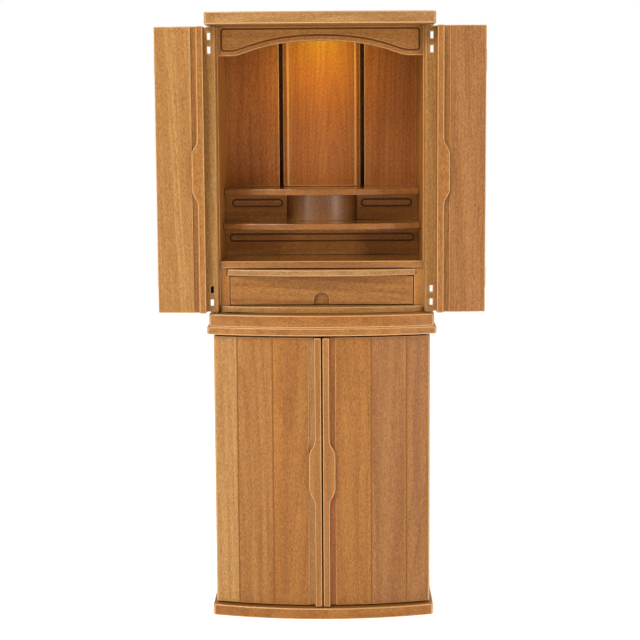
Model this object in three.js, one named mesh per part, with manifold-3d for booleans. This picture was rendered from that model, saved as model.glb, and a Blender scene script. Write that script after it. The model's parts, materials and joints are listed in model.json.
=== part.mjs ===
// Household altar cabinet in satin honey-brown hardwood: an altar case with folding doors on a floor cabinet.
// Millimetres, +Z up. The front faces -Y. The origin is on the floor, at the middle of the footprint.
// Inside the cabinet group, Y counts backwards from the outer edges of the closed doors.
import * as THREE from 'three';
import { mergeVertices } from 'three/addons/utils/BufferGeometryUtils.js';
import Module from 'manifold-3d';

const wasm = await Module();
wasm.setup();

// Body of both cabinets
const bodyWidth = 454;
const bodyDepth = 298;
const sideThickness = 15;
const sideFront = 23;
const rearThickness = 9;
const seam = 0.3;

// Bow of the closed doors, and how far the boards stand in front of it
const bowRise = 30;
const boardOverhang = 12;
const boardCorner = 10;

// Boards of the stack, from the floor up: how far each one stands out beside the body, how thick it is,
// and the heights of the two cases between them
const plinthOverhang = 7.5;
const plinthThickness = 24;
const lowerCaseHeight = 580;
const waistOverhang = 13;
const waistThickness = 17;
const altarBaseOverhang = 8;
const altarBaseThickness = 26.5;
const altarCaseHeight = 593.5;
const crownOverhang = 8;
const crownThickness = 25;
const crownFrontAtEnds = 38;
const crownBowRise = 8;

// Door leaves: flat planks on the bow, a sunken strip and a proud meeting stile with a wave grip
const leafThickness = 20;
const outerPlankWidths = [50, 74];
const jointDepth = 1.6;
const stripWidth = 12;
const stripSink = 3;
const stileWidth = 13.9;
const stileProud = 10;
const stileInnerStep = 1;
const meetingGap = 3.2;
const waveLength = 142;
const waveRun = 38;
const altarWaveHeight = 942;
const lowerWaveHeight = 316;
const hingeRounding = 5;
const doorFootGap = 3;
const doorHeadGap = 2.5;
const lowerDoorFootGap = 3.5;
const lowerDoorHeadGap = 4;
const doorStopGap = 1.5;

// Turning points of the leaves
const pivotInset = 6;
const pivotDepth = 10;
const altarDoorOpening = 173.2;
const foldGap = 0.8;
const foldPivotOut = 0.5;
const pinDiameter = 5;
const pinDepth = 12;
const collarDiameter = 9;
const pinClearance = 0.3;
const mortiseWidth = 6.5;
const mortiseHeight = 14.7;
const mortisePitch = 28;
const mortiseInset = 13.7;
const mortiseFromEnd = 32.5;

// Fold hinges between the outer and the inner leaf
const hingeHeight = 44;
const hingeFromEnd = 70;
const hingePlateWidth = 14;
const hingePlateThickness = 1;
const knuckleDiameter = 4.4;
const knuckleGap = 0.3;

// Altar case: rail, drawer, pull-out board, floor, shelves and risers
const kickHeight = 13;
const kickBack = 40;
const runnerHeight = 15;
const runnerWidth = 44;
const cheekWidth = 18;
const cheekFront = 24;
const drawerSideGap = 2.2;
const drawerHeight = 60;
const drawerFrontThickness = 18;
const drawerWall = 9;
const drawerSideHeight = 44;
const drawerBackRoom = 10.4;
const drawerBottomThickness = 5;
const drawerBottomLift = 5;
const fingerWidth = 32.7;
const fingerHeight = 25;
const fingerDepth = 9;
const pullOutThickness = 13;
const pullOutClearance = 2.2;
const pullOutTongue = 4.3;
const pullOutBackRoom = 42.2;
const pullOutSetBack = 5;
const pullOutCorner = 3;
const floorThickness = 14.6;
const floorFront = 20;
const lowerRiserHeight = 61;
const lowerRiserFront = 168;
const shelfThickness = 13.5;
const middleShelfFront = 69;
const upperRiserHeight = 58;
const upperRiserFront = 200;
const riserThickness = 12;
const upperShelfFront = 112;
const shelfCorner = 4;
const drumHalfWidth = 76.6;
const drumBulge = 41;
const drumThickness = 12;

// Back panels
const backCavity = 28;
const backPanelThickness = 9;
const centrePanelWidth = 172;
const centrePanelProud = 12;
const centrePanelBevelWidth = 11;
const centrePanelBevelDepth = 5;
const backPanelGap = 9;

// Valance
const valanceFront = 24;
const valanceThickness = 14;
const valanceEndHeight = 61;
const archRise = 31.5;
const archEndFlat = 29.7;
const archEndPull = 22;
const archCrownPull = 120;

// Routed grooves
const grooveWidth = 3;
const grooveDepth = 2;
const valanceGrooveSide = 5.5;
const valanceGrooveTop = 4;
const valanceGrooveFoot = 9.5;
const valanceGrooveCorner = 7.5;
const riserGrooveHeight = 18;
const upperGrooveDrumInset = 9.4;
const upperGrooveWallInset = 12.7;
const upperGrooveFoot = 28.5;
const lowerGrooveInset = 8.7;
const lowerGrooveFoot = 29;

// Finishes
const wood = { color: 0xb98350, roughness: 0.42, metalness: 0 };
const paleWood = { color: 0xcf9a62, roughness: 0.4, metalness: 0 };
const warmWood = { color: 0x9c5f34, roughness: 0.45, metalness: 0 };
const metal = { color: 0x8c7a58, roughness: 0.35, metalness: 1 };

// Lengths worked out from the sizes above
const bodyHalf = bodyWidth / 2;
const insideHalf = bodyHalf - sideThickness;
const fittedHalf = insideHalf - seam;
const rearFace = bodyDepth - rearThickness;
const innerBack = rearFace - seam;
const bowRadius = (bodyHalf ** 2 + bowRise ** 2) / (2 * bowRise);
const bowCentre = bowRadius - bowRise;
const boardRadius = bowRadius + boardOverhang;
const stopRadius = bowRadius - leafThickness - doorStopGap;
const plinthTop = plinthThickness;
const waistFoot = plinthTop + lowerCaseHeight;
const waistTop = waistFoot + waistThickness;
const altarBaseTop = waistTop + altarBaseThickness;
const crownFoot = altarBaseTop + altarCaseHeight;
const crownTop = crownFoot + crownThickness;
const runnerTop = altarBaseTop + runnerHeight;
const drawerTop = runnerTop + drawerHeight;
const pullOutFoot = drawerTop + pullOutClearance;
const pullOutTop = pullOutFoot + pullOutThickness;
const floorFoot = pullOutTop + pullOutClearance;
const floorTop = floorFoot + floorThickness;
const middleShelfFoot = floorTop + lowerRiserHeight;
const middleShelfTop = middleShelfFoot + shelfThickness;
const upperShelfFoot = middleShelfTop + upperRiserHeight;
const upperShelfTop = upperShelfFoot + shelfThickness;
const crownHalf = bodyHalf + crownOverhang;
const crownFrontRadius = (crownHalf ** 2 + crownBowRise ** 2) / (2 * crownBowRise);
const crownFront = -crownFrontAtEnds - crownBowRise;
const boardFront = bowCentre - boardRadius;

const cabinet = new THREE.Group();
cabinet.position.y = -(Math.min(crownFront, boardFront) + bodyDepth) / 2;

// Adds one named piece to a group
function piece(name, geometry, finish, group = cabinet) {
  const mesh = new THREE.Mesh(geometry, new THREE.MeshStandardMaterial(finish));
  mesh.name = name;
  mesh.geometry.computeVertexNormals();
  group.add(mesh);
  return mesh;
}

// A rectangular board between two limits on each axis
function board([left, right], [front, back], [foot, top]) {
  const box = new THREE.BoxGeometry(right - left, back - front, top - foot);
  return box.translate((left + right) / 2, (front + back) / 2, (foot + top) / 2);
}

// A plan outline raised between two heights
function raised(plan, foot, top, arcSteps = 12) {
  const options = { depth: top - foot, bevelEnabled: false, curveSegments: arcSteps };
  return new THREE.ExtrudeGeometry(plan, options).translate(0, 0, foot);
}

// An outline drawn on the front, run backwards from its front face
function sawn(elevation, front, thickness, arcSteps = 8) {
  const options = { depth: thickness, bevelEnabled: false, curveSegments: arcSteps };
  const geometry = new THREE.ExtrudeGeometry(elevation, options).rotateX(Math.PI / 2);
  return geometry.translate(0, front + thickness, 0);
}

// An upright round bar or bore
function bar(x, y, foot, top, diameter, sides = 20) {
  const rod = new THREE.CylinderGeometry(diameter / 2, diameter / 2, top - foot, sides);
  return rod.rotateX(Math.PI / 2).translate(x, y, (foot + top) / 2);
}

// A mesh as a solid that can be cut and joined
function solid(geometry) {
  geometry.deleteAttribute('normal');
  geometry.deleteAttribute('uv');
  const merged = mergeVertices(geometry, 1e-4);
  return new wasm.Manifold(new wasm.Mesh({
    numProp: 3,
    vertProperties: Float32Array.from(merged.attributes.position.array),
    triVerts: Uint32Array.from(merged.index.array),
  }));
}

// A solid as a mesh
function surface(shape) {
  const mesh = shape.getMesh();
  const geometry = new THREE.BufferGeometry();
  geometry.setAttribute('position', new THREE.BufferAttribute(mesh.vertProperties, 3));
  geometry.setIndex(new THREE.BufferAttribute(mesh.triVerts, 1));
  return geometry;
}

// A piece with other shapes cut away
function cut(geometry, ...tools) {
  return surface(tools.reduce((rest, tool) => rest.subtract(solid(tool)), solid(geometry)));
}

// Several overlapping shapes made into one piece
function joined(first, ...others) {
  return surface(others.reduce((whole, other) => whole.add(solid(other)), solid(first)));
}

// Plan of a board with a bowed front and rounded front corners
function bowedPlan(half, radius, centre, corner, back) {
  const cornerX = half - corner;
  const cornerY = centre - Math.sqrt((radius - corner) ** 2 - cornerX ** 2);
  const turn = Math.atan2(cornerY - centre, cornerX);
  const plan = new THREE.Shape();
  plan.moveTo(half, back);
  plan.lineTo(-half, back);
  plan.absarc(-cornerX, cornerY, corner, Math.PI, Math.PI - turn, false);
  plan.absarc(0, centre, radius, Math.PI - turn, 2 * Math.PI + turn, false);
  plan.absarc(cornerX, cornerY, corner, 2 * Math.PI + turn, 2 * Math.PI, false);
  plan.closePath();
  return plan;
}

// Height of the doors' turning pins, which sit in the boards above and below
const lowerDoorFoot = plinthTop + lowerDoorFootGap;
const lowerDoorHead = waistFoot - lowerDoorHeadGap;
const altarDoorFoot = altarBaseTop + doorFootGap;
const altarDoorHead = crownFoot - doorHeadGap;

// Bores for the pins of both doors, cut into a board from one of its faces
function pinBores(foot, top) {
  const across = pinDiameter + 2 * pinClearance;
  return [-1, 1].map((side) => bar(side * (bodyHalf - pivotInset), pivotDepth, foot, top, across));
}

// A board of the stack with the bow of the doors
function bowedBoard(overhang, foot, top) {
  return raised(bowedPlan(bodyHalf + overhang, boardRadius, bowCentre, boardCorner, bodyDepth), foot, top);
}

// Plinth board on the floor, waist board over the floor cabinet, base board of the altar case
const boreDepth = pinDepth + pinClearance;
const edge = 1;
piece('plinth_board', cut(
  bowedBoard(plinthOverhang, 0, plinthTop),
  ...pinBores(plinthTop - boreDepth, plinthTop + edge),
), wood);
piece('waist_board', cut(
  bowedBoard(waistOverhang, waistFoot + seam, waistTop),
  ...pinBores(waistFoot - edge, waistFoot + seam + boreDepth),
), wood);
piece('altar_base_board', cut(
  bowedBoard(altarBaseOverhang, waistTop + seam, altarBaseTop),
  ...pinBores(altarBaseTop - boreDepth, altarBaseTop + edge),
), wood);

// Crown board, less bowed than the boards below
piece('crown_board', cut(
  raised(
    bowedPlan(crownHalf, crownFrontRadius, crownFront + crownFrontRadius, boardCorner, bodyDepth),
    crownFoot + seam,
    crownTop,
  ),
  ...pinBores(crownFoot - edge, crownFoot + seam + boreDepth),
), wood);

// Side panels and rear boards of both cases
const cases = [['lower', plinthTop, waistFoot], ['altar', altarBaseTop, crownFoot]];
for (const [name, foot, top] of cases) {
  const height = [foot + seam, top];
  piece(`${name}_side_left`, board([-bodyHalf, -insideHalf], [sideFront, bodyDepth], height), wood);
  piece(`${name}_side_right`, board([insideHalf, bodyHalf], [sideFront, bodyDepth], height), wood);
  piece(`${name}_rear_board`, board([-fittedHalf, fittedHalf], [rearFace, bodyDepth], height), wood);
}

// Kick rail under the drawer, bowed to stand just behind the closed doors
piece('kick_rail', raised(
  bowedPlan(fittedHalf, stopRadius, bowCentre, edge, kickBack),
  altarBaseTop + seam,
  altarBaseTop + kickHeight,
), wood);

// Cheeks at both sides of the drawer, grooved for the pull-out board, and the runners under the drawer
const cheekInner = fittedHalf - cheekWidth;
const pullOutHalf = cheekInner + pullOutTongue;
const grooveHalf = pullOutHalf + seam;
for (const [name, side] of [['left', -1], ['right', 1]]) {
  const span = (near, far) => [side * near, side * far].sort((a, b) => a - b);
  const cheekBlock = board(span(cheekInner, fittedHalf), [cheekFront, innerBack],
    [altarBaseTop + seam, floorFoot - seam]);
  const track = board(span(cheekInner - edge, grooveHalf), [cheekFront - edge, innerBack + edge],
    [pullOutFoot - seam, pullOutTop + seam]);
  const kickNotch = board(span(cheekInner - edge, fittedHalf + edge), [cheekFront - edge, kickBack + seam],
    [altarBaseTop - edge, altarBaseTop + kickHeight + seam]);
  piece(`drawer_cheek_${name}`, cut(cheekBlock, track, kickNotch), wood);
  piece(`drawer_runner_${name}`, board(
    span(cheekInner - seam - runnerWidth, cheekInner - seam),
    [kickBack + seam, innerBack],
    [altarBaseTop + seam, runnerTop],
  ), wood);
}

// Drawer: thick front with an arched finger recess at its foot, sides, back and bottom
const drawerHalf = cheekInner - drawerSideGap;
const drawerFoot = runnerTop + seam;
const boxFront = cheekFront + drawerFrontThickness + seam;
const boxBack = innerBack - drawerBackRoom;
const boxHalf = cheekInner - 3 * seam;
const boxFoot = drawerFoot + drawerBottomLift;
const fingerRadius = fingerWidth / 2;
const finger = new THREE.Shape();
finger.moveTo(-fingerRadius, drawerFoot - edge);
finger.lineTo(fingerRadius, drawerFoot - edge);
finger.absarc(0, drawerFoot + fingerHeight - fingerRadius, fingerRadius, 0, Math.PI, false);
finger.closePath();
piece('drawer_front', cut(
  board([-drawerHalf, drawerHalf], [cheekFront, cheekFront + drawerFrontThickness], [drawerFoot, drawerTop]),
  sawn(finger, cheekFront - edge, fingerDepth + edge),
), wood);
const boxTop = drawerFoot + drawerSideHeight;
for (const [name, side] of [['left', -1], ['right', 1]]) {
  const across = [side * boxHalf, side * (boxHalf - drawerWall)].sort((a, b) => a - b);
  piece(`drawer_side_${name}`, board(across, [boxFront, boxBack], [drawerFoot, boxTop]), paleWood);
}
const boxInner = boxHalf - drawerWall - seam;
piece('drawer_back', board([-boxInner, boxInner], [boxBack - drawerWall, boxBack],
  [boxFoot + drawerBottomThickness + seam, boxTop]), paleWood);
piece('drawer_bottom', board([-boxInner, boxInner], [boxFront, boxBack],
  [boxFoot, boxFoot + drawerBottomThickness]), paleWood);

// Pull-out board above the drawer, with the same bow as the kick rail, in the grooves of the cheeks
const pullOutRadius = stopRadius - pullOutSetBack;
piece('pull_out_board', raised(
  bowedPlan(pullOutHalf, pullOutRadius, bowCentre, pullOutCorner, innerBack - pullOutBackRoom),
  pullOutFoot,
  pullOutTop,
), paleWood);

// Floor board of the altar room
piece('altar_floor_board', board([-fittedHalf, fittedHalf], [floorFront, innerBack], [floorFoot, floorTop]),
  wood);

// A flat bar with round ends, as an outline between two ends
function stadium(left, right, middle, radius) {
  const outline = new THREE.Shape();
  outline.moveTo(left + radius, middle - radius);
  outline.lineTo(right - radius, middle - radius);
  outline.absarc(right - radius, middle, radius, -Math.PI / 2, Math.PI / 2, false);
  outline.lineTo(left + radius, middle + radius);
  outline.absarc(left + radius, middle, radius, Math.PI / 2, 1.5 * Math.PI, false);
  outline.closePath();
  return outline;
}

// The ring between an outline and a smaller one, as a groove routed into a front face
function grooveTool(outer, inner, front, arcSteps = 4) {
  outer.holes.push(inner);
  return sawn(outer, front - edge, grooveDepth + edge, arcSteps);
}

// A groove in the form of a long stadium
function stadiumGroove(left, right, foot, front) {
  const radius = riserGrooveHeight / 2;
  const middle = foot + radius;
  return grooveTool(
    stadium(left, right, middle, radius),
    stadium(left + grooveWidth, right - grooveWidth, middle, radius - grooveWidth),
    front,
  );
}

// Lower riser with one long groove, and the middle shelf on it
piece('lower_riser', cut(
  board([-fittedHalf, fittedHalf], [lowerRiserFront, lowerRiserFront + riserThickness],
    [floorTop + seam, middleShelfFoot]),
  stadiumGroove(lowerGrooveInset - fittedHalf, fittedHalf - lowerGrooveInset, floorTop + lowerGrooveFoot,
    lowerRiserFront),
), wood);
piece('middle_shelf', raised(
  bowedPlan(fittedHalf, bowCentre - middleShelfFront, bowCentre, shelfCorner, innerBack),
  middleShelfFoot + seam,
  middleShelfTop,
), wood);

// Upper risers with a groove each, the drum between them, and the upper shelf
const upperRiserHeights = [middleShelfTop + seam, upperShelfFoot];
for (const [name, side] of [['left', -1], ['right', 1]]) {
  const span = (near, far) => [side * near, side * far].sort((a, b) => a - b);
  const [left, right] = span(drumHalfWidth + upperGrooveDrumInset, fittedHalf - upperGrooveWallInset);
  piece(`upper_riser_${name}`, cut(
    board(span(drumHalfWidth + seam, fittedHalf), [upperRiserFront, upperRiserFront + riserThickness],
      upperRiserHeights),
    stadiumGroove(left, right, middleShelfTop + upperGrooveFoot, upperRiserFront),
  ), wood);
}
const drumRadius = (drumHalfWidth ** 2 + drumBulge ** 2) / (2 * drumBulge);
const drumCentre = upperRiserFront - drumBulge + drumRadius;
const drumTurn = Math.asin(drumHalfWidth / drumRadius);
const drumInnerRadius = drumRadius - drumThickness;
const drumInnerTurn = Math.acos((drumCentre - upperRiserFront) / drumInnerRadius);
const drumPlan = new THREE.Shape();
drumPlan.absarc(0, drumCentre, drumRadius, 1.5 * Math.PI - drumTurn, 1.5 * Math.PI + drumTurn, false);
drumPlan.absarc(0, drumCentre, drumInnerRadius, 1.5 * Math.PI + drumInnerTurn,
  1.5 * Math.PI - drumInnerTurn, true);
drumPlan.closePath();
piece('shelf_drum', raised(drumPlan, ...upperRiserHeights, 14), wood);
piece('upper_shelf', raised(
  bowedPlan(fittedHalf, bowCentre - upperShelfFront, bowCentre, shelfCorner, innerBack),
  upperShelfFoot + seam,
  upperShelfTop,
), wood);

// Back panels on the upper shelf, the middle one proud, bevelled and lit
const panelHeights = [upperShelfTop + seam, crownFoot];
const panelInner = centrePanelWidth / 2 + backPanelGap;
const panelBack = rearFace - backCavity;
const backPanelFront = panelBack - backPanelThickness;
const panelDepths = [backPanelFront, panelBack];
piece('back_panel_left', board([-fittedHalf, -panelInner], panelDepths, panelHeights), warmWood);
piece('back_panel_right', board([panelInner, fittedHalf], panelDepths, panelHeights), warmWood);
const centreHalf = centrePanelWidth / 2;
const centreFront = backPanelFront - centrePanelProud;
const centrePlan = new THREE.Shape();
centrePlan.moveTo(-centreHalf, backPanelFront);
centrePlan.lineTo(-centreHalf, centreFront + centrePanelBevelDepth);
centrePlan.lineTo(centrePanelBevelWidth - centreHalf, centreFront);
centrePlan.lineTo(centreHalf - centrePanelBevelWidth, centreFront);
centrePlan.lineTo(centreHalf, centreFront + centrePanelBevelDepth);
centrePlan.lineTo(centreHalf, backPanelFront);
centrePlan.closePath();
piece('back_panel_centre', raised(centrePlan, ...panelHeights), warmWood);

// Lower edge of the valance, lifted by an amount: flat at the ends, with an ogee arch between
const valanceFoot = crownFoot - valanceEndHeight;
const archHalfWidth = fittedHalf - archEndFlat;
function archEdge(outline, lift) {
  const foot = valanceFoot + lift;
  const crown = foot + archRise;
  const shoulder = archHalfWidth - archEndPull;
  outline.lineTo(-archHalfWidth, foot);
  outline.bezierCurveTo(-shoulder, foot, -archCrownPull, crown, 0, crown);
  outline.bezierCurveTo(archCrownPull, crown, shoulder, foot, archHalfWidth, foot);
}

// Outline of the valance's routed field, with rounded corners
function fieldOutline(inset) {
  const half = fittedHalf - valanceGrooveSide - inset;
  const foot = valanceFoot + valanceGrooveFoot + inset;
  const top = crownFoot - valanceGrooveTop - inset;
  const radius = valanceGrooveCorner - inset;
  const outline = new THREE.Shape();
  outline.moveTo(-half + radius, foot);
  archEdge(outline, valanceGrooveFoot + inset);
  outline.absarc(half - radius, foot + radius, radius, 1.5 * Math.PI, 2 * Math.PI, false);
  outline.absarc(half - radius, top - radius, radius, 0, Math.PI / 2, false);
  outline.absarc(radius - half, top - radius, radius, Math.PI / 2, Math.PI, false);
  outline.absarc(radius - half, foot + radius, radius, Math.PI, 1.5 * Math.PI, false);
  outline.closePath();
  return outline;
}
const valance = new THREE.Shape();
valance.moveTo(-fittedHalf, valanceFoot);
archEdge(valance, 0);
valance.lineTo(fittedHalf, valanceFoot);
valance.lineTo(fittedHalf, crownFoot);
valance.lineTo(-fittedHalf, crownFoot);
valance.closePath();
piece('valance', cut(
  sawn(valance, valanceFront, valanceThickness, 12),
  grooveTool(fieldOutline(0), fieldOutline(grooveWidth), valanceFront, 8),
), wood);

// Places across a closed leaf, measured from the middle of the cabinet
const edgeJoint = bodyHalf - outerPlankWidths[0];
const foldLine = edgeJoint - outerPlankWidths[1];
const stileInner = meetingGap / 2;
const stileOuter = stileInner + stileWidth;
const stripOuter = stileOuter + stripWidth;

// Depth of the doors' outer face on the flat plank that holds a place
function faceDepth(x) {
  const corners = [bodyHalf, edgeJoint, foldLine, stripOuter];
  const onBow = (place) => bowCentre - Math.sqrt(bowRadius ** 2 - place ** 2);
  const last = corners.length - 2;
  const found = corners.findIndex((corner, i) => i <= last && x >= corners[i + 1]);
  const plank = found < 0 ? last : found;
  const [far, near] = [corners[plank], corners[plank + 1]];
  return onBow(far) + (onBow(near) - onBow(far)) * (far - x) / (far - near);
}

// Quarter round between the end of a leaf and one of its faces, as points
function rounding(endX, faceY, towards) {
  const steps = 5;
  return Array.from({ length: steps + 1 }, (_, i) => {
    const angle = Math.PI / 2 * i / steps;
    return [
      endX - hingeRounding * (1 - Math.cos(angle)),
      faceY + towards * hingeRounding * (1 - Math.sin(angle)),
    ];
  });
}

// Plan of the planks from one place across the leaf to another, on the left or the right side
function plankPlan(side, outerX, innerX, roundedEnd) {
  const points = [];
  const joints = [edgeJoint, foldLine].filter((x) => x < outerX - edge && x > innerX + edge);
  if (roundedEnd) {
    points.push(...rounding(outerX, faceDepth(outerX - hingeRounding), 1));
  } else {
    points.push([outerX, faceDepth(outerX)]);
  }
  for (const x of joints) {
    points.push([x + jointDepth, faceDepth(x + jointDepth)]);
    points.push([x, faceDepth(x) + jointDepth]);
    points.push([x - jointDepth, faceDepth(x - jointDepth)]);
  }
  if (innerX < stripOuter) {
    points.push([stripOuter, faceDepth(stripOuter)]);
    points.push([stripOuter, faceDepth(stripOuter) + stripSink]);
    points.push([innerX, faceDepth(innerX) + stripSink]);
  } else {
    points.push([innerX, faceDepth(innerX)]);
  }
  points.push([innerX, faceDepth(innerX) + leafThickness]);
  for (const x of [...joints].reverse()) {
    points.push([x, faceDepth(x) + leafThickness]);
  }
  if (roundedEnd) {
    const inner = faceDepth(outerX - hingeRounding) + leafThickness;
    points.push(...rounding(outerX, inner, -1).reverse());
  } else {
    points.push([outerX, faceDepth(outerX) + leafThickness]);
  }
  return new THREE.Shape(points.map(([x, y]) => new THREE.Vector2(side * x, y)));
}

// Meeting stile: a square bar, with a wave on its outer face that covers the sunken strip
function stile(side, foot, head, waveMiddle) {
  const front = faceDepth(stripOuter) - stileProud;
  const seat = faceDepth(stileOuter) + stripSink - seam;
  const back = faceDepth(stripOuter) + leafThickness - stileInnerStep;
  const [crest, waveTop] = [stripOuter, waveMiddle + waveLength / 2];
  const waveFoot = waveMiddle - waveLength / 2;
  const half = waveRun / 2;
  const outline = new THREE.Shape();
  outline.moveTo(side * stileInner, foot);
  outline.lineTo(side * stileInner, head);
  outline.lineTo(side * stileOuter, head);
  outline.lineTo(side * stileOuter, waveTop);
  outline.bezierCurveTo(side * stileOuter, waveTop - half, side * crest, waveTop - half,
    side * crest, waveTop - waveRun);
  outline.lineTo(side * crest, waveFoot + waveRun);
  outline.bezierCurveTo(side * crest, waveFoot + half, side * stileOuter, waveFoot + half,
    side * stileOuter, waveFoot);
  outline.lineTo(side * stileOuter, foot);
  outline.closePath();
  const across = [side * stileInner, side * stileOuter].sort((a, b) => a - b);
  return joined(
    sawn(outline, front, seat - front, 10),
    board(across, [front + edge, back], [foot, head]),
  );
}

// Turning pin with a collar that carries the leaf off the board below it
function turningPin(side, leafEnd, boardFace) {
  const towards = Math.sign(boardFace - leafEnd);
  const radius = pinDiameter / 2;
  const collar = collarDiameter / 2;
  const profile = [
    [0, leafEnd - towards * (pinDepth - seam)],
    [radius, leafEnd - towards * (pinDepth - seam)],
    [radius, leafEnd + towards * seam],
    [collar, leafEnd + towards * seam],
    [collar, boardFace - towards * seam],
    [radius, boardFace - towards * seam],
    [radius, boardFace + towards * (pinDepth - seam)],
    [0, boardFace + towards * (pinDepth - seam)],
  ];
  const points = profile.map(([x, z]) => new THREE.Vector2(x, z));
  const lathe = new THREE.LatheGeometry(towards > 0 ? points : points.reverse(), 20);
  return lathe.rotateX(Math.PI / 2).translate(side * (bodyHalf - pivotInset), pivotDepth, 0);
}

// Bores in the two ends of a leaf for its turning pins
function leafBores(side, foot, head) {
  const across = pinDiameter + 2 * pinClearance;
  const x = side * (bodyHalf - pivotInset);
  return [
    bar(x, pivotDepth, foot - edge, foot + pinDepth, across),
    bar(x, pivotDepth, head - pinDepth, head + edge, across),
  ];
}

// Two through mortises, one above the other, near an end of an outer leaf
function mortises(side, middle) {
  const x = side * (bodyHalf - mortiseInset);
  return [-1, 1].map((step) => {
    const z = middle + step * mortisePitch / 2;
    return board([x - mortiseWidth / 2, x + mortiseWidth / 2], [-leafThickness, 2 * leafThickness],
      [z - mortiseHeight / 2, z + mortiseHeight / 2]);
  });
}

// Fold axis, just outside the inner faces, and the direction of those faces on both sides of it
const foldAxisY = faceDepth(foldLine) + leafThickness + foldPivotOut;

// Plate of a fold hinge, let into the inner face from the fold outwards along one of the leaves
function hingePlate(side, direction, foot, top, slack) {
  const reach = hingePlateWidth + slack;
  const begin = direction > 0 ? 0 : foldGap / 2;
  const far = foldLine + direction * reach;
  const innerFace = (x) => faceDepth(x) + leafThickness;
  const near = foldLine + direction * begin;
  const sunk = hingePlateThickness + slack;
  const out = slack > 0 ? edge : 0;
  const corners = [
    [near, innerFace(near) + out],
    [near, innerFace(near) - sunk],
    [far, innerFace(far) - sunk],
    [far, innerFace(far) + out],
  ];
  return raised(new THREE.Shape(corners.map(([x, y]) => new THREE.Vector2(side * x, y))), foot, top);
}

// Half of a fold hinge: its plate and its own knuckles
function hingeHalf(side, direction, middle) {
  const foot = middle - hingeHeight / 2;
  const third = hingeHeight / 3;
  const knuckle = (low, high) => bar(side * foldLine, foldAxisY, low, high, knuckleDiameter, 16);
  const plate = hingePlate(side, direction, foot, foot + hingeHeight, 0);
  if (direction > 0) {
    return cut(
      joined(plate, knuckle(foot + third + knuckleGap, foot + 2 * third - knuckleGap)),
      hingeClearance(side, foot - edge, foot + third + knuckleGap),
      hingeClearance(side, foot + 2 * third - knuckleGap, foot + hingeHeight + edge),
    );
  }
  return cut(
    joined(plate, knuckle(foot, foot + third), knuckle(foot + 2 * third, foot + hingeHeight)),
    hingeClearance(side, foot + third, foot + 2 * third),
  );
}

// Round clearance about the fold axis
function hingeClearance(side, foot, top) {
  return bar(side * foldLine, foldAxisY, foot, top, knuckleDiameter + 2 * knuckleGap, 16);
}

// Room in a leaf for its half of a fold hinge
function hingeRoom(side, direction, middle) {
  const foot = middle - hingeHeight / 2 - seam;
  const top = middle + hingeHeight / 2 + seam;
  return [hingePlate(side, direction, foot, top, seam), hingeClearance(side, foot, top)];
}

// Folding doors of the altar case, shown open: the outer leaf swung out, the inner leaf folded onto it
const hingeMiddles = [altarDoorHead - hingeFromEnd, altarDoorFoot + hingeFromEnd];
const mortiseMiddles = [altarDoorHead - mortiseFromEnd, altarDoorFoot + mortiseFromEnd];
for (const [name, side] of [['left', -1], ['right', 1]]) {
  const opening = side * THREE.MathUtils.degToRad(altarDoorOpening);
  const pivotX = side * (bodyHalf - pivotInset);
  const swing = new THREE.Group();
  swing.position.set(pivotX, pivotDepth, 0);
  swing.rotation.z = opening;
  cabinet.add(swing);
  const outer = new THREE.Group();
  outer.position.set(-pivotX, -pivotDepth, 0);
  swing.add(outer);
  const fold = new THREE.Group();
  fold.position.set(side * foldLine, foldAxisY, 0);
  fold.rotation.z = -opening;
  outer.add(fold);
  const inner = new THREE.Group();
  inner.position.set(-side * foldLine, -foldAxisY, 0);
  fold.add(inner);

  piece(`${name}_outer_leaf`, cut(
    raised(plankPlan(side, bodyHalf, foldLine + foldGap / 2, true), altarDoorFoot, altarDoorHead),
    ...leafBores(side, altarDoorFoot, altarDoorHead),
    ...mortiseMiddles.flatMap((middle) => mortises(side, middle)),
    ...hingeMiddles.flatMap((middle) => hingeRoom(side, 1, middle)),
  ), wood, outer);
  piece(`${name}_outer_pin_top`, turningPin(side, altarDoorHead, crownFoot + seam), metal, outer);
  piece(`${name}_outer_pin_foot`, turningPin(side, altarDoorFoot, altarBaseTop), metal, outer);
  piece(`${name}_inner_leaf`, cut(
    raised(plankPlan(side, foldLine - foldGap / 2, stileOuter + seam, false), altarDoorFoot, altarDoorHead),
    ...hingeMiddles.flatMap((middle) => hingeRoom(side, -1, middle)),
  ), wood, inner);
  piece(`${name}_inner_stile`, stile(side, altarDoorFoot, altarDoorHead, altarWaveHeight), wood, inner);
  for (const [place, middle] of [['top', hingeMiddles[0]], ['foot', hingeMiddles[1]]]) {
    piece(`${name}_fold_hinge_${place}_outer`, hingeHalf(side, 1, middle), metal, outer);
    piece(`${name}_fold_hinge_${place}_inner`, hingeHalf(side, -1, middle), metal, inner);
  }
}

// Doors of the floor cabinet, shown closed
for (const [name, side] of [['left', -1], ['right', 1]]) {
  piece(`lower_door_${name}`, cut(
    raised(plankPlan(side, bodyHalf, stileOuter + seam, true), lowerDoorFoot, lowerDoorHead),
    ...leafBores(side, lowerDoorFoot, lowerDoorHead),
  ), wood);
  piece(`lower_stile_${name}`, stile(side, lowerDoorFoot, lowerDoorHead, lowerWaveHeight), wood);
  piece(`lower_pin_top_${name}`, turningPin(side, lowerDoorHead, waistFoot + seam), metal);
  piece(`lower_pin_foot_${name}`, turningPin(side, lowerDoorFoot, plinthTop), metal);
}

export default cabinet;
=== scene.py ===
# Household altar cabinet in satin honey-brown hardwood, dressed piece by piece from the floor up.
import json
import math
import random

import bmesh
import bpy
from mathutils import Matrix, Vector


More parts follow.
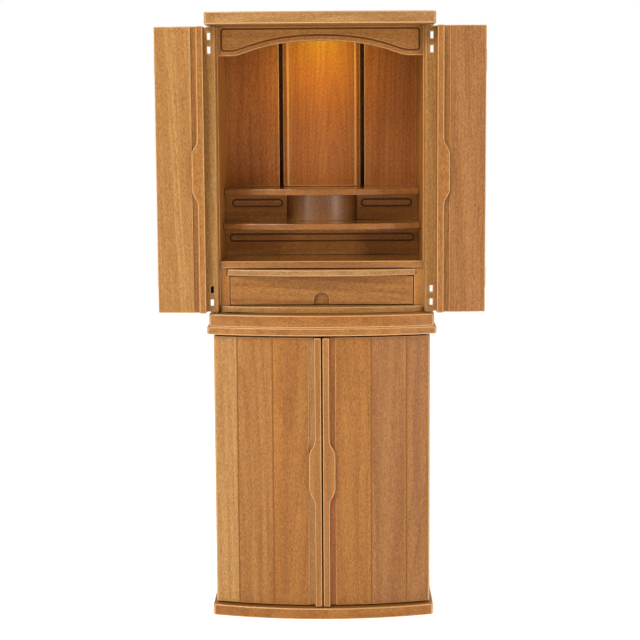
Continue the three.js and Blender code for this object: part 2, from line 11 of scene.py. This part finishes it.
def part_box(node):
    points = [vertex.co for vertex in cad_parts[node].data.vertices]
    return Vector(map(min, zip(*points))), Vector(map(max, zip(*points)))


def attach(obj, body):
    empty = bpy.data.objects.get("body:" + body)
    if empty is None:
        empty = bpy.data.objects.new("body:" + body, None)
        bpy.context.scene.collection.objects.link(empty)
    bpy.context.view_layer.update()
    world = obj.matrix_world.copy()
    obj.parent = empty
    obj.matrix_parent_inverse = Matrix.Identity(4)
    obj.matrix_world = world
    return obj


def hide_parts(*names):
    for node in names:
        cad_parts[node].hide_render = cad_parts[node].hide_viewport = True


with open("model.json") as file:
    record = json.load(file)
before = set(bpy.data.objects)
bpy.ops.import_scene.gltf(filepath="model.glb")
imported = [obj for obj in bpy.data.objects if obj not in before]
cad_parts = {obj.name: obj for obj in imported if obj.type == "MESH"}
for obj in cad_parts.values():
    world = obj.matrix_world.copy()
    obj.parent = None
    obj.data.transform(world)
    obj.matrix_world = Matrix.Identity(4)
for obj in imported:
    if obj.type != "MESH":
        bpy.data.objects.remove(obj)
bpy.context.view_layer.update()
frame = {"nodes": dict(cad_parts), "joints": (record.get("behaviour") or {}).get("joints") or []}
scene = bpy.context.scene

# The photographer's place: three metres in front of the closed doors, at four fifths of the cabinet's height,
# looking down a little, with the lens shifted down a touch more to keep the upright edges near parallel.
picture_side = 640
focal_pixels = 1436.8
axis_row = 284.8
photo_lens = bpy.data.cameras.new("photo_lens")
photo_lens.sensor_width = 36
photo_lens.lens = photo_lens.sensor_width * focal_pixels / picture_side
photo_lens.shift_y = (axis_row - picture_side / 2) / picture_side
photo_camera = bpy.data.objects.new("photo_camera", photo_lens)
scene.collection.objects.link(photo_camera)
camera_place = Vector((0.0319, -3.1, 1.05))
turned_left, tilted_down, rolled = (math.radians(angle) for angle in (0.673, 6.581, 0.328))
photo_camera.matrix_world = (
    Matrix.Translation(camera_place)
    @ Matrix.Rotation(turned_left, 4, "Z")
    @ Matrix.Rotation(math.pi / 2 - tilted_down, 4, "X")
    @ Matrix.Rotation(-rolled, 4, "Z")
)
scene.camera = photo_camera
scene.view_settings.view_transform = "Standard"


# The studio: a white room without corners that is dimmer behind the camera, a pale floor, a large soft light
# high up on the left, and a tall weaker one to either side, which draw the highlights down the rounded edges.
class Value:
    """What a shader node gives out, on which sums are written as on a number."""

    def __init__(self, sheet, socket):
        self.sheet, self.socket = sheet, socket

    def __add__(self, other):
        return self.sheet.math("ADD", self, other)

    def __radd__(self, other):
        return self.sheet.math("ADD", other, self)

    def __sub__(self, other):
        return self.sheet.math("SUBTRACT", self, other)

    def __rsub__(self, other):
        return self.sheet.math("SUBTRACT", other, self)

    def __mul__(self, other):
        return self.sheet.math("MULTIPLY", self, other)

    def __rmul__(self, other):
        return self.sheet.math("MULTIPLY", other, self)

    def __truediv__(self, other):
        return self.sheet.math("DIVIDE", self, other)


class Sheet:
    """The nodes of one finish, of the room or of a light."""

    def __init__(self, tree):
        self.tree = tree
        tree.nodes.clear()

    def node(self, kind, settings=None, sockets=None, output=0):
        made = self.tree.nodes.new(kind)
        for key, setting in (settings or {}).items():
            setattr(made, key, setting)
        for key, given in (sockets or {}).items():
            if isinstance(given, Value):
                self.tree.links.new(given.socket, made.inputs[key])
            else:
                made.inputs[key].default_value = given
        return Value(self, made.outputs[output]) if made.outputs else made

    def math(self, operation, *given):
        return self.node("ShaderNodeMath", {"operation": operation}, dict(enumerate(given)))

    def between(self, low, high, value):
        """0 below low, 1 above high and a soft step between them."""
        return self.node(
            "ShaderNodeMapRange",
            {"interpolation_type": "SMOOTHSTEP"},
            {"Value": value, "From Min": low, "From Max": high},
        )

    def mixed(self, first, second, share, how="MIX"):
        """Two colours mixed."""
        colour_a, colour_b, colour_out = 6, 7, 2
        return self.node(
            "ShaderNodeMix",
            {"data_type": "RGBA", "blend_type": how},
            {"Factor": share, colour_a: first, colour_b: second},
            output=colour_out,
        )

    def noise(self, a, b, c, detail=2.0, roughness=0.5):
        place = self.node("ShaderNodeCombineXYZ", None, {0: a, 1: b, 2: c})
        sockets = {"Vector": place, "Scale": 1.0, "Detail": detail, "Roughness": roughness}
        return self.node("ShaderNodeTexNoise", None, sockets)

    def axes(self):
        """The three coordinates of a point on a piece."""
        place = self.node("ShaderNodeTexCoord", output="Object")
        return [self.node("ShaderNodeSeparateXYZ", None, {0: place}, output=i) for i in range(3)]

    def surface(self, sockets):
        """What a piece shows, given by the sockets of its shader."""
        shader = self.node("ShaderNodeBsdfPrincipled", None, sockets)
        self.node("ShaderNodeOutputMaterial", None, {"Surface": shader})


def opaque(colour):
    return (*colour, 1.0)


def new_finish(name):
    """A material and the sheet of its nodes."""
    finish = bpy.data.materials.new(name)
    finish.use_nodes = True
    return finish, Sheet(finish.node_tree)


room = bpy.data.worlds.new("white_room")
scene.world = room
room.use_nodes = True
room_sheet = Sheet(room.node_tree)
seen = room_sheet.node("ShaderNodeBackground", None, {"Color": opaque((1, 1, 1)), "Strength": 1.0})
towards = room_sheet.node("ShaderNodeTexCoord", output="Generated")
depth = room_sheet.node("ShaderNodeSeparateXYZ", None, {0: towards}, output=1)
dimmest, brightest = 0.2, 1.0
brightness = dimmest + room_sheet.between(-0.1, 0.5, depth) * (brightest - dimmest)
warm_white = opaque((1, 0.99, 0.97))
shed = room_sheet.node("ShaderNodeBackground", None, {"Color": warm_white, "Strength": brightness})
from_camera = room_sheet.node("ShaderNodeLightPath", output="Is Camera Ray")
room_sheet.node("ShaderNodeOutputWorld", None, {
    "Surface": room_sheet.node("ShaderNodeMixShader", None, {0: from_camera, 1: shed, 2: seen}),
})

floor_half = 6.0
floor_mesh = bpy.data.meshes.new("studio_floor")
floor_mesh.from_pydata(
    [(x * floor_half, y * floor_half, 0) for x, y in ((-1, -1), (1, -1), (1, 1), (-1, 1))], [], [(0, 1, 2, 3)]
)
studio_floor = bpy.data.objects.new("studio_floor", floor_mesh)
scene.collection.objects.link(studio_floor)
floor_paint, floor_sheet = new_finish("floor_paint")
floor_sheet.surface({
    "Base Color": opaque((0.93, 0.93, 0.92)), "Roughness": 0.85,
    "Emission Color": opaque((1, 1, 1)), "Emission Strength": 0.6,
})
floor_mesh.materials.append(floor_paint)


def soft_light(name, place, target, width, height, power, colour):
    light = bpy.data.lights.new(name, "AREA")
    light.shape = "RECTANGLE"
    light.size = width
    light.size_y = height
    light.energy = power
    light.color = colour
    lamp = bpy.data.objects.new(name, light)
    scene.collection.objects.link(lamp)
    lamp.location = place
    lamp.rotation_euler = (Vector(target) - Vector(place)).to_track_quat("-Z", "Y").to_euler()


soft_light("high_softbox", (-1.9, -4.0, 4.6), (0, 0, 0.8), 1.8, 1.8, 236, (1, 0.98, 0.94))
soft_light("left_strip", (-2.2, -2.6, 1.25), (0, 0, 1.0), 0.4, 2.2, 28, (1, 0.97, 0.95))
soft_light("right_strip", (2.2, -2.6, 1.25), (0, 0, 1.0), 0.4, 2.2, 44, (1, 0.97, 0.95))


# Plinth board: a solid board with a bowed front and rounded corners, its arrises eased by hand. It is
# open-pored hardwood under satin lacquer, as all the brown pieces are.
GOLD = ((0.39, 0.168, 0.032), (0.300, 0.115, 0.020))


def wood(name, along, tone, heart, figure=1.0, slope=0.0, sapwood=None, coat=(0.15, 0.3)):
    """Hardwood with its growth rings, fibre and pores along one axis, around a heart line given across and
    deep, which leans by the slope. Sapwood, if any, shows to the left of a line across."""
    finish, sheet = new_finish(name)
    chance = random.Random(name)
    x, y, z = sheet.axes()
    across, deep, run = {"X": (z, y, x), "Y": (x, z, y), "Z": (x, y, z)}[along]
    start = chance.uniform(-50, 50)

    wander = sheet.noise(across * 3 + start, deep * 3, run * 1.3, 2.0) - 0.5
    off_heart = across - heart[0] + wander * 0.06
    under_heart = deep - heart[1] + run * slope + wander * 0.03
    ring_radius = sheet.math("SQRT", off_heart * off_heart + under_heart * under_heart)
    uneven = sheet.noise(across * 14, deep * 14 + start, run * 2, 1.0)
    ring_width = 0.0075
    ring = sheet.math("FRACT", ring_radius / ring_width + uneven * 1.5)
    late_wood = sheet.between(0.35, 0.95, ring) * sheet.between(1.0, 0.96, ring)

    lean = across + run * chance.uniform(-0.07, 0.07)
    streaks = sheet.noise(lean * 55 + start, deep * 55, run * 1.6, 3.0)
    fibre = sheet.noise(across * 560, deep * 560, run * 30 + start, 3.0, 0.65)
    mottle = sheet.noise(lean * 800, deep * 800 + start, run * 190, 1.5, 0.6)
    pores = sheet.between(0.62, 0.74, sheet.noise(across * 2300, deep * 2300, run * 170, 1.0))

    light, dark = (opaque(colour) for colour in tone)
    sapwood_tint = opaque((1.12, 1.13, 1.0))
    fibre_tint = opaque((0.74, 0.66, 0.58))
    mottle_tint = opaque((0.61, 0.53, 0.42))
    pore_tint = opaque((0.55, 0.42, 0.33))
    depth_of_tone = sheet.between(0.25, 0.75, streaks) * (0.85 * figure) + late_wood * (0.40 * figure)
    colour = sheet.mixed(light, dark, sheet.math("MINIMUM", depth_of_tone, 1.0))
    if sapwood:
        pale_side = sheet.between(-0.0015, 0.0015, sapwood - across + wander * 0.03)
        colour = sheet.mixed(colour, sapwood_tint, pale_side * 0.8, "MULTIPLY")
    colour = sheet.mixed(colour, fibre_tint, sheet.between(0.35, 0.75, fibre) * 0.6, "MULTIPLY")
    colour = sheet.mixed(colour, mottle_tint, sheet.between(0.32, 0.70, mottle), "MULTIPLY")
    colour = sheet.mixed(colour, pore_tint, pores * 0.55, "MULTIPLY")

    relief = fibre * 0.4 - pores
    bump = sheet.node("ShaderNodeBump", None, {"Strength": 0.25, "Distance": 0.00025, "Height": relief})
    coat_weight, coat_roughness = coat
    sheet.surface({
        "Base Color": colour,
        "Roughness": 0.40 + fibre * 0.12 + pores * 0.15,
        "Specular IOR Level": 0.2,
        "Coat Weight": coat_weight,
        "Coat Roughness": coat_roughness,
        "Normal": bump,
    })
    return finish


def lacquer(name, colour, roughness, gloss):
    """Specked lacquer: painted highlight on arrises, painted shade in grooves, or the dark of joints."""
    finish, sheet = new_finish(name)
    x, y, z = sheet.axes()
    speck = sheet.noise(x * 260, y * 260, z * 260, 3.0)
    speck_tint = opaque((0.62, 0.50, 0.40))
    tinted = sheet.mixed(opaque(colour), speck_tint, sheet.between(0.4, 0.8, speck) * 0.6, "MULTIPLY")
    sheet.surface({
        "Base Color": tinted,
        "Roughness": roughness + speck * 0.1,
        "Specular IOR Level": gloss,
        "Coat Weight": gloss,
        "Coat Roughness": 0.15,
    })
    return finish


# Pale and glossy on arrises, groove rims and rounded corners: a painted highlight.
arris_highlight_paint = lacquer("arris_highlight_paint", (0.50, 0.26, 0.09), 0.35, 0.4)
# Dark in grooves: painted shade.
groove_shade_paint = lacquer("groove_shade_paint", (0.15, 0.045, 0.007), 0.6, 0.05)


def box_of(node):
    low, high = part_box(node)
    return low, high, (low + high) / 2


def board_wood(node, along, tone, figure=1.0, heart=None, slope=0.0, coat=(0.15, 0.3)):
    """Wood for one board, its heart line set beside the middle of the board by a chance of its own."""
    low, high, middle = box_of(node)
    chance = random.Random(node + along)
    first = {"X": 2, "Y": 0, "Z": 0}[along]
    second = {"X": 1, "Y": 2, "Z": 1}[along]
    width = high[first] - low[first]
    heart = heart or (middle[first] + chance.uniform(-0.6, 0.6) * width, high[second] + 0.055)
    return wood(node + "_wood", along, tone, heart, figure, slope, coat=coat)


def reach(face, edge):
    """How far a face extends from one of its edges."""
    start = edge.verts[0].co
    sideways = face.normal.cross(edge.verts[1].co - start).normalized()
    return max(abs((vert.co - start).dot(sideways)) for vert in face.verts)


def cleaned(node):
    """The solid's mesh with its flat faces whole."""
    same_point, same_plane = 2e-6, math.radians(0.3)
    work = bmesh.new()
    work.from_mesh(frame["nodes"][node].data)
    bmesh.ops.remove_doubles(work, verts=work.verts, dist=same_point)
    bmesh.ops.dissolve_limit(
        work, angle_limit=same_plane, verts=work.verts, edges=work.edges, delimit={"NORMAL"}
    )
    return work


def eased(node, body, finishes, arris, work=None, steps=3, blunt=50, highlit_roundings=True):
    """A piece with its outer edges rounded, but for blunt ones, standing for its solid."""
    work = work or cleaned(node)
    share_of_room = 0.35
    weights = []
    for edge in work.edges:
        convex = len(edge.link_faces) == 2 and edge.calc_face_angle_signed(0) > math.radians(blunt)
        room_beside = min((reach(face, edge) for face in edge.link_faces), default=0)
        weights.append(min(1.0, share_of_room * room_beside / arris) if convex else 0.0)
    mesh = bpy.data.meshes.new(node + "_eased")
    work.to_mesh(mesh)
    work.free()
    mesh.attributes.new("bevel_weight_edge", "FLOAT", "EDGE").data.foreach_set("value", weights)
    for finish in (*finishes, arris_highlight_paint):
        mesh.materials.append(finish)
    mesh.polygons.foreach_set("use_smooth", [True] * len(mesh.polygons))
    piece = bpy.data.objects.new(node + "_eased", mesh)
    scene.collection.objects.link(piece)
    rounding = piece.modifiers.new("arrises", "BEVEL")
    rounding.limit_method = "WEIGHT"
    rounding.width = arris
    rounding.segments = steps
    rounding.use_clamp_overlap = False
    # The roundings take the pale last finish, a painted highlight, unless this is turned off.
    rounding.material = len(finishes) if highlit_roundings else -1
    shading = piece.modifiers.new("even_shading", "WEIGHTED_NORMAL")
    shading.weight = 80
    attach(piece, body)
    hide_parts(node)


def corners_painted_highlight(node):
    """The solid's mesh, with the painted highlight of its arrises on its rounded front corners too."""
    work = cleaned(node)
    for face in work.faces:
        from_front = math.degrees(face.normal.angle(Vector((0, -1, 0))))
        upright = abs(face.normal.z) < 0.1
        if upright and 30 < from_front < 80:
            face.material_index = 1
    return work


plinth_wood = board_wood("plinth_board", "X", GOLD)
# Its rounded front corners and arrises are painted pale as a highlight.
eased("plinth_board", "cabinet", [plinth_wood], 0.0025, corners_painted_highlight("plinth_board"))

# Side panels and rear board of the floor cabinet: plain boards, upright grain, let in between the boards
# above and below and glued.
HONEY = ((0.41, 0.190, 0.048), (0.300, 0.118, 0.022))
for node in ("lower_side_left", "lower_side_right", "lower_rear_board"):
    eased(node, "cabinet", [board_wood(node, "Z", HONEY)], 0.0012)

# Lower doors: three flat planks glued edge to edge on the bow with a V joint between them, a sunken strip
# beside the meeting stile, and the stile itself with a wave left proud for the hand.
PALE = ((0.475, 0.265, 0.082), (0.370, 0.175, 0.045))
ROSE = ((0.365, 0.165, 0.050), (0.275, 0.110, 0.028))
RUSSET = ((0.41, 0.150, 0.031), (0.310, 0.100, 0.016))


def parted(work, cuts, front=None):
    """Cuts a mesh by planes and numbers the faces from its outer side inwards, then the V joints in its
    front, then its rounded end, which takes a painted highlight."""
    joint_reach = 0.003
    for place, sideways in cuts:
        whole = work.verts[:] + work.edges[:] + work.faces[:]
        bmesh.ops.bisect_plane(work, geom=whole, dist=1e-6, plane_co=place, plane_no=sideways)
    for face in work.faces:
        middle = face.calc_center_median()
        inwards = [(middle - place).dot(sideways) for place, sideways in cuts]
        face.material_index = sum(distance > 0 for distance in inwards)
        # Slanted faces near a cut are V joints; the others, on the rounded end, take the painted highlight.
        if front and 15 < math.degrees(face.normal.angle(front)) < 75:
            beside = min(abs(distance) for distance in inwards) < joint_reach
            face.material_index = len(cuts) + (1 if beside else 2)
    return work


def plank_woods(name, tones, places, depth=0.0, sapwood=()):
    """One finish for each plank of a leaf, from the outer plank inwards, and one for the joints."""
    woods = []
    for number, (tone, place) in enumerate(zip(tones, places)):
        chance = random.Random(f"{name}{number}")
        heart = (place + chance.uniform(-0.03, 0.03), depth + chance.uniform(-0.06, 0.0))
        pale_from = sapwood[1] if sapwood and sapwood[0] == number else None
        slope = chance.uniform(-0.03, 0.03)
        woods.append(wood(f"{name}_plank_{number + 1}", "Z", tone, heart, 1.0, slope, pale_from))
    return [*woods, joint_lacquer]


edge_joint, fold_joint, strip_side = 0.177, 0.103, 0.0275
lower_plank_middles = (0.205, 0.140, 0.065, 0.02)
joint_lacquer = lacquer("joint_lacquer", (0.22, 0.082, 0.016), 0.45, 0.1)
lower_tones = {"left": (PALE, HONEY, GOLD, PALE), "right": (ROSE, ROSE, GOLD, RUSSET)}
lower_sapwood = {"left": (2, -0.081), "right": ()}
for name, side in (("left", -1), ("right", 1)):
    leaf, stile = f"lower_door_{name}", f"lower_stile_{name}"
    cuts = [(Vector((side * x, 0, 0)), Vector((-side, 0, 0))) for x in (edge_joint, fold_joint, strip_side)]
    places = [side * x for x in lower_plank_middles]
    woods = plank_woods(leaf, lower_tones[name], places, sapwood=lower_sapwood[name])
    work = parted(cleaned(leaf), cuts, Vector((0, -1, 0)))
    # The leaf's roundings and rounded end are painted pale as a highlight.
    eased(leaf, f"lower_{name}", woods, 0.0016, work, blunt=60)
    eased(stile, f"lower_{name}", [board_wood(stile, "Z", HONEY)], 0.0018)

# Waist board, the top of the floor cabinet, and the base board of the altar case on it: solid boards with the
# plinth's bow, grain from side to side, the arrises rounded a little more where hands pass.
for node in ("waist_board", "altar_base_board"):
    tone = HONEY if node == "waist_board" else GOLD
    # Their rounded front corners and arrises are painted pale as a highlight.
    eased(node, "cabinet", [board_wood(node, "X", tone)], 0.0025, corners_painted_highlight(node))

# Side panels and rear board of the altar case: plain boards with upright grain and eased edges, the sides a
# little redder and brighter than the floor cabinet's.
AMBER = ((0.52, 0.225, 0.045), (0.400, 0.150, 0.022))
for node, tone in (("altar_side_left", AMBER), ("altar_side_right", AMBER), ("altar_rear_board", HONEY)):
    eased(node, "cabinet", [board_wood(node, "Z", tone)], 0.0012)

# Kick rail, drawer cheeks and runners: the rail is bowed to clear the closed doors, the cheeks show as posts
# beside the drawer, the runners are hidden under it.
eased("kick_rail", "cabinet", [board_wood("kick_rail", "X", PALE)], 0.0016)
for name in ("left", "right"):
    cheek, runner = f"drawer_cheek_{name}", f"drawer_runner_{name}"
    eased(cheek, "cabinet", [board_wood(cheek, "Z", AMBER)], 0.0012)
    eased(runner, "cabinet", [board_wood(runner, "Y", HONEY)], 0.0012)

# Drawer: a thick front with an arched recess for a fingertip, and a box of paler and plainer wood behind it,
# which shows only when the drawer is out.
eased("drawer_front", "drawer", [board_wood("drawer_front", "X", HONEY)], 0.0010)
for node, along in (("drawer_side_left", "Y"), ("drawer_side_right", "Y"), ("drawer_back", "X"),
                    ("drawer_bottom", "X")):
    eased(node, "drawer", [board_wood(node, along, PALE, 0.6)], 0.0010)

# Pull-out board above the drawer: paler wood with little figure, bowed as the kick rail is, its front edge
# rounded.
SANDY = ((0.42, 0.235, 0.085), (0.310, 0.150, 0.045))
eased("pull_out_board", "pull_out", [board_wood("pull_out_board", "X", SANDY, 0.7)], 0.0020)

# Floor board of the altar room, the grooved riser on it and the middle shelf: grain from side to side, the
# bowed shelf's front edge rounded. Floor board and shelf are glossier; the groove is painted dark as shade
# and its front rims pale as a highlight.
UMBER = ((0.35, 0.140, 0.026), (0.260, 0.092, 0.014))


def grooved(work, front, number):
    """Rounds the rims of the groove behind a front plane and numbers its faces for painted shade; the
    front-facing faces of a rim get the next number, for a painted highlight."""
    least_depth, most_depth = 1e-4, 4e-3
    for face in work.faces:
        if front + least_depth < max(vert.co.y for vert in face.verts) < front + most_depth:
            face.material_index = number
    rims = [
        edge for edge in work.edges
        if len(edge.link_faces) == 2
        and edge.calc_face_angle_signed(0) > 1
        and sum(face.material_index == number for face in edge.link_faces) == 1
    ]
    made = bmesh.ops.bevel(
        work, geom=rims, offset=0.0013, segments=4, profile=0.5, affect="EDGES", material=number
    )
    for face in made["faces"]:
        if face.normal.y < -0.85:
            face.material_index = number + 1
    return work


GLOSSY = (1.0, 0.1)
floor_wood = board_wood("altar_floor_board", "X", GOLD, coat=GLOSSY)
eased("altar_floor_board", "cabinet", [floor_wood], 0.0015)
riser_woods = [board_wood("lower_riser", "X", AMBER), groove_shade_paint]
# The groove is painted dark as shade, its front rims pale as a highlight.
work = grooved(cleaned("lower_riser"), box_of("lower_riser")[0].y, 1)
eased("lower_riser", "cabinet", riser_woods, 0.0008, work)
shelf_wood = board_wood("middle_shelf", "X", UMBER, coat=GLOSSY)
eased("middle_shelf", "cabinet", [shelf_wood], 0.0020, steps=4, highlit_roundings=False)

# Upper risers, each of two boards edge to edge and with a routed groove, the bent drum between them, and the
# upper shelf, which is as glossy as the middle one.
seam_foot, seam_head = 0.0252, 0.0258
for node in ("upper_riser_left", "upper_riser_right"):
    front, foot = box_of(node)[0].y, box_of(node)[0].z
    edges = [(Vector((0, 0, foot + height)), Vector((0, 0, 1))) for height in (seam_foot, seam_head)]
    work = parted(cleaned(node), edges)
    lower_wood, upper_wood = board_wood(node, "X", AMBER), board_wood(node, "X", AMBER)
    riser_woods = [lower_wood, joint_lacquer, upper_wood, groove_shade_paint]
    # The groove is painted dark as shade, its front rims pale as a highlight.
    eased(node, "cabinet", riser_woods, 0.0008, grooved(work, front, 3))
eased("shelf_drum", "cabinet", [board_wood("shelf_drum", "Z", ROSE, coat=(0.6, 0.35))], 0.0008)
shelf_wood = board_wood("upper_shelf", "X", UMBER, coat=GLOSSY)
eased("upper_shelf", "cabinet", [shelf_wood], 0.0020, steps=4, highlit_roundings=False)

# Back panels: red-brown straight-grained veneer. The middle one stands proud with bevelled sides, under the
# warm light of a lamp behind the valance.
for node in ("back_panel_left", "back_panel_right"):
    eased(node, "cabinet", [board_wood(node, "Z", RUSSET)], 0.0015)
centre_wood = board_wood("back_panel_centre", "Z", RUSSET, 1.0, (0.031, 0.090), -0.05)
eased("back_panel_centre", "cabinet", [centre_wood], 0.0024, blunt=10)
glow = bpy.data.lights.new("panel_lamp", "AREA")
glow.shape = "RECTANGLE"
glow.size = 0.07
glow.size_y = 0.006
glow.spread = math.radians(100)
glow.energy = 0.21
glow.color = (1.0, 0.68, 0.0)
panel_lamp = bpy.data.objects.new("panel_lamp", glow)
scene.collection.objects.link(panel_lamp)
panel_lamp.location = (0, -0.080, 1.234)
panel_lamp.rotation_euler = (math.radians(60), 0, 0)

# Arched valance with its routed groove, painted dark as shade, and the crown board over it, slightly bowed,
# sandy in tone, its front corners painted pale as a highlight.
valance_woods = [board_wood("valance", "X", HONEY), groove_shade_paint]
# The groove is painted dark as shade, its front rims pale as a highlight.
work = grooved(cleaned("valance"), box_of("valance")[0].y, 1)
eased("valance", "cabinet", valance_woods, 0.0012, work)
crown_wood = board_wood("crown_board", "X", SANDY)
eased("crown_board", "cabinet", [crown_wood], 0.0025, corners_painted_highlight("crown_board"))

# Altar doors, folded open: two planks in the outer leaf, one in the inner leaf with the sunken strip, and the
# meeting stile with its wave.
joint_of = {joint["name"]: joint for joint in frame["joints"]}


def turned(joint, degrees):
    """A turn about a joint's axis, as it lies when the doors are open."""
    place = Vector(joint["pos_m"])
    turn = Matrix.Rotation(math.radians(degrees), 4, Vector(joint["axis"]))
    return Matrix.Translation(place) @ turn @ Matrix.Translation(-place)


altar_tones = {"left": (PALE, PALE, PALE, HONEY), "right": (PALE, PALE, ROSE, HONEY)}
arched_heart = (-0.3095, -0.1503)
for name, side in (("left", -1), ("right", 1)):
    swing, fold = joint_of[f"{name}_door_swing"], joint_of[f"{name}_door_fold"]
    swung = turned(swing, -swing["range_deg"][0])
    folded = turned(fold, -fold["range_deg"][1]) @ swung
    for leaf, opened, x in (("outer", swung, edge_joint), ("inner", folded, strip_side)):
        node = f"{name}_{leaf}_leaf"
        cut = (opened @ Vector((side * x, 0, 0)), opened.to_3x3() @ Vector((-side, 0, 0)))
        high, middle = box_of(node)[1:]
        tones = altar_tones[name][:2] if leaf == "outer" else altar_tones[name][2:]
        woods = plank_woods(node, tones, (middle.x, middle.x), high.y)
        if node == "left_inner_leaf":
            woods[0] = wood(node + "_arched", "Z", tones[0], arched_heart, 1.6, -0.042)
        # The leaf's roundings and rounded end are painted pale as a highlight.
        work = parted(cleaned(node), [cut], opened.to_3x3() @ Vector((0, -1, 0)))
        eased(node, f"{name}_{leaf}", woods, 0.0018, work, blunt=60)
    stile = f"{name}_inner_stile"
    eased(stile, f"{name}_inner", [board_wood(stile, "Z", HONEY)], 0.0018)


# Turning pins and fold hinges: small turned and folded pieces of brass, bronzed and rubbed bright on the high
# places.
def bronzed_brass(name):
    finish, sheet = new_finish(name)
    x, y, z = sheet.axes()
    cloud = sheet.noise(x * 240, y * 240, z * 240, 4.0)
    turning = sheet.noise(x * 300, y * 300, z * 2600, 2.0)
    bright, bronzed = opaque((0.52, 0.38, 0.18)), opaque((0.22, 0.15, 0.08))
    colour = sheet.mixed(bright, bronzed, sheet.between(0.35, 0.7, cloud))
    bump = sheet.node("ShaderNodeBump", None, {"Strength": 0.2, "Distance": 0.0001, "Height": turning})
    sheet.surface({
        "Base Color": colour,
        "Metallic": 1.0,
        "Roughness": 0.28 + cloud * 0.2,
        "Normal": bump,
    })
    return finish


brass = bronzed_brass("bronzed_brass")
for name in ("left", "right"):
    for end in ("top", "foot"):
        eased(f"{name}_outer_pin_{end}", f"{name}_outer", [brass], 0.0003, steps=2)
        eased(f"lower_pin_{end}_{name}", f"lower_{name}", [brass], 0.0003, steps=2)
        for leaf in ("outer", "inner"):
            eased(f"{name}_fold_hinge_{end}_{leaf}", f"{name}_{leaf}", [brass], 0.0002, steps=2)
